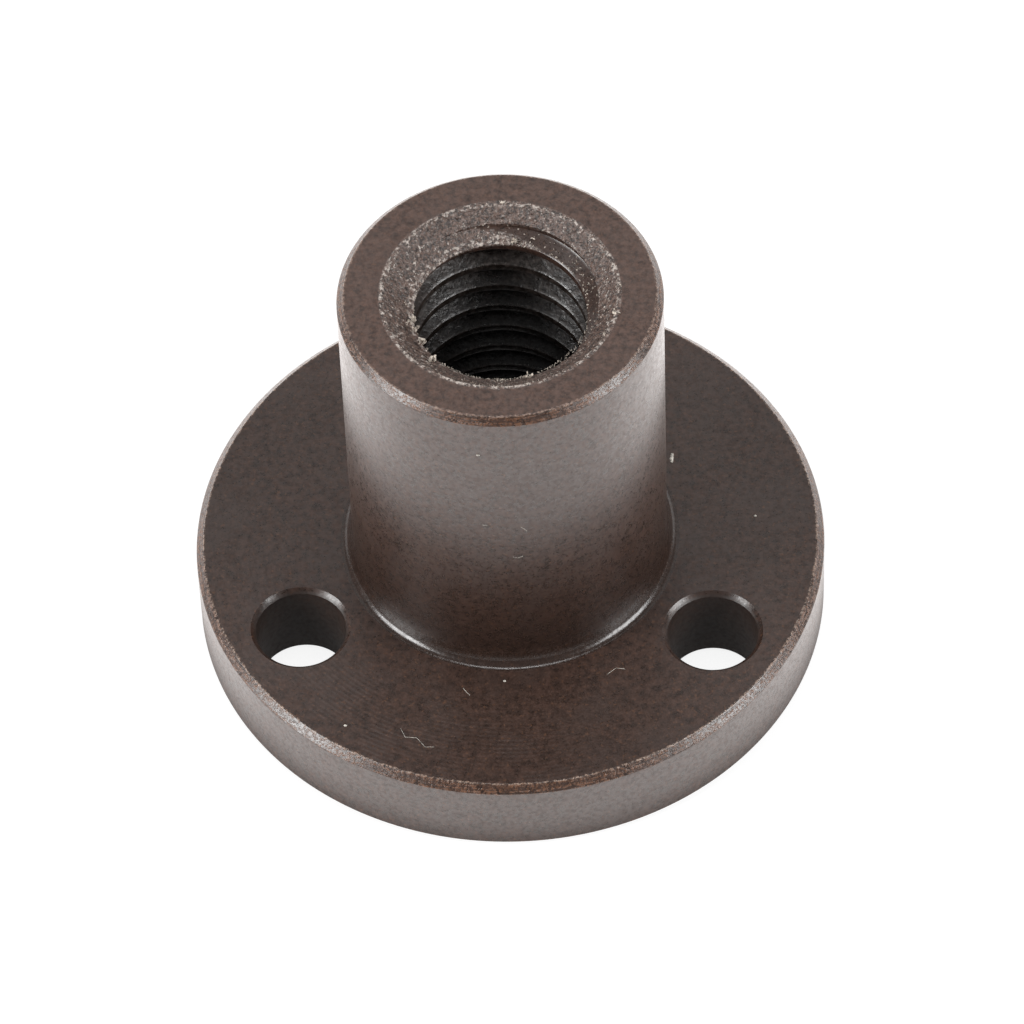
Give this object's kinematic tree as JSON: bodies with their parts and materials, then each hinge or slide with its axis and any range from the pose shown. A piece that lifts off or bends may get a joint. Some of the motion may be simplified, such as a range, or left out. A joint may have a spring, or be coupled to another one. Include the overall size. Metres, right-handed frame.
{
  "type": "lead screw flange nut",
  "caption": "Dark brown plastic nut that runs on a lead screw, with a round flange drilled for its mounting screws and a long threaded hub, countersunk at its mouth.",
  "frame": {"origin": "on the bore's axis, in the plane of the flange's mounting face", "axes": "+Z along the bore axis, from the flange towards the hub's mouth; +Y through one of the flange's screw holes"},
  "size_m": [0.0254, 0.0254, 0.0191],
  "materials": {
    "bearing_plastic": "machined, dark brown, finely mottled, satin on the turned faces"
  },
  "bodies": {
    "root": {"flange_nut": "bearing_plastic"}
  },
  "joints": []
}
